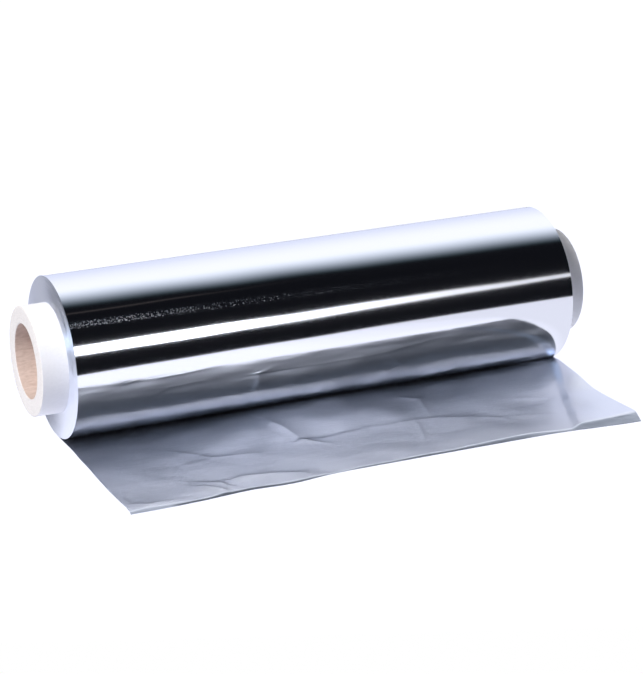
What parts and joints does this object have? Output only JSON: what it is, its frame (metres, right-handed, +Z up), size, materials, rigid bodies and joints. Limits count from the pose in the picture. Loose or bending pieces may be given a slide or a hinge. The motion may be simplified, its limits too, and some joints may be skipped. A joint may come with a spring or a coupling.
{
  "type": "aluminium foil roll",
  "caption": "Catering roll of aluminium foil on a thick paper core, lying on its side with a short creased tail of foil drawn out flat from under it.",
  "frame": {"origin": "on the table, straight below the middle of the core's axis, on the roll's flat underside", "axes": "+X along the core, +Z up from the table, and the tail runs out towards -Y"},
  "size_m": [0.33, 0.1695, 0.0907],
  "materials": {
    "core_board": "spirally wound paper board, white liner outside, pale cut ends and a kraft brown bore",
    "foil": "bright rolled foil, mirror side outwards on the roll"
  },
  "bodies": {
    "root": {"core_tube": "core_board", "wound_foil": "foil"}
  },
  "joints": []
}
